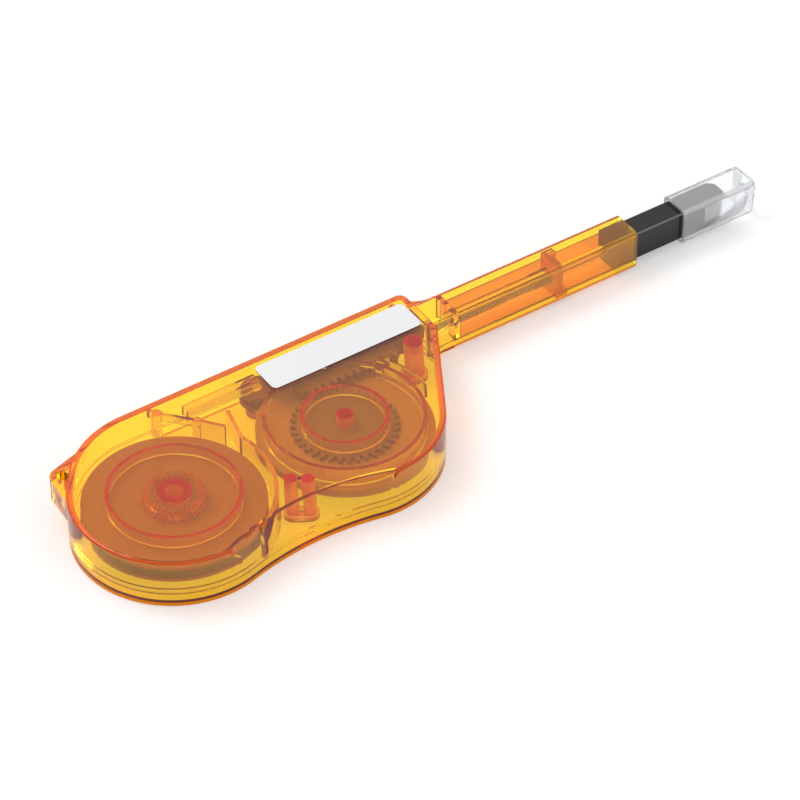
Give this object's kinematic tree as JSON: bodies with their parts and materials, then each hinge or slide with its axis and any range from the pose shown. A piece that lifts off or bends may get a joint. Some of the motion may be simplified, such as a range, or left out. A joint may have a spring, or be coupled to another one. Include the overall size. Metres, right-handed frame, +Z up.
{
  "type": "fibre connector cleaning pen",
  "caption": "Flat two-reel cleaning pen with a clear amber housing, a long neck, a black push-in nose under a clear cap, and a rack that winds fresh tape.",
  "frame": {"origin": "the supply reel's axis, on the underside that the pen lies on", "axes": "+X along the neck towards the tip, +Y towards the straight back edge, +Z up out of the labelled face"},
  "size_m": [0.2378, 0.0607, 0.0157],
  "materials": {
    "housing": "clear amber, glossy",
    "label": "satin",
    "reel": "satin",
    "tape": "woven",
    "gear": "satin",
    "rack": "satin",
    "rod": "drawn",
    "collar": "satin",
    "spring": "drawn wire",
    "nose": "glossy",
    "head": "satin",
    "roller": "satin",
    "cap": "clear, lightly frosted"
  },
  "bodies": {
    "housing": {"upper_shell": "housing", "lower_shell": "housing", "brake_ring": "housing", "rod_guide": "housing", "label": "label", "return_spring": "spring"},
    "supply_spool": {"supply_reel": "reel", "supply_tape": "tape"},
    "take_up_spool": {"take_up_reel": "reel", "take_up_tape": "tape"},
    "drive_gear": {"take_up_gear": "gear"},
    "slider": {"slider_rack": "rack", "push_rod": "rod", "spring_collar": "collar", "nose_sleeve": "nose", "cleaning_head": "head", "tip_tape": "tape"},
    "roller": {"guide_roller": "roller"},
    "cap": {"cap": "cap"}
  },
  "joints": [
    {"name": "nose_push", "type": "slide", "parent": "housing", "child": "slider", "axis": [-1, 0, 0], "range_m": [0, 0.009], "stiffness_N_per_m": 250, "springref_m": -0.004, "deforming": ["return_spring"]},
    {"name": "gear_turn", "type": "hinge", "parent": "housing", "child": "drive_gear", "pos_m": [0.0535, 0, 0], "axis": [0, 0, 1], "range_deg": [0, 37]},
    {"name": "take_up_turn", "type": "hinge", "parent": "housing", "child": "take_up_spool", "pos_m": [0.0535, 0, 0], "axis": [0, 0, 1], "continuous": true},
    {"name": "supply_turn", "type": "hinge", "parent": "housing", "child": "supply_spool", "pos_m": [0, 0, 0], "axis": [0, 0, 1], "continuous": true},
    {"name": "roller_turn", "type": "hinge", "parent": "housing", "child": "roller", "pos_m": [0.0414, 0.0252, 0], "axis": [0, 0, 1], "continuous": true},
    {"name": "cap_pull", "type": "slide", "parent": "slider", "child": "cap", "axis": [1, 0, 0], "range_m": [0, 0.02]}
  ],
  "couplings": [
    {"joint": "gear_turn", "follows": "nose_push", "rad_per_m": 71.225}
  ]
}
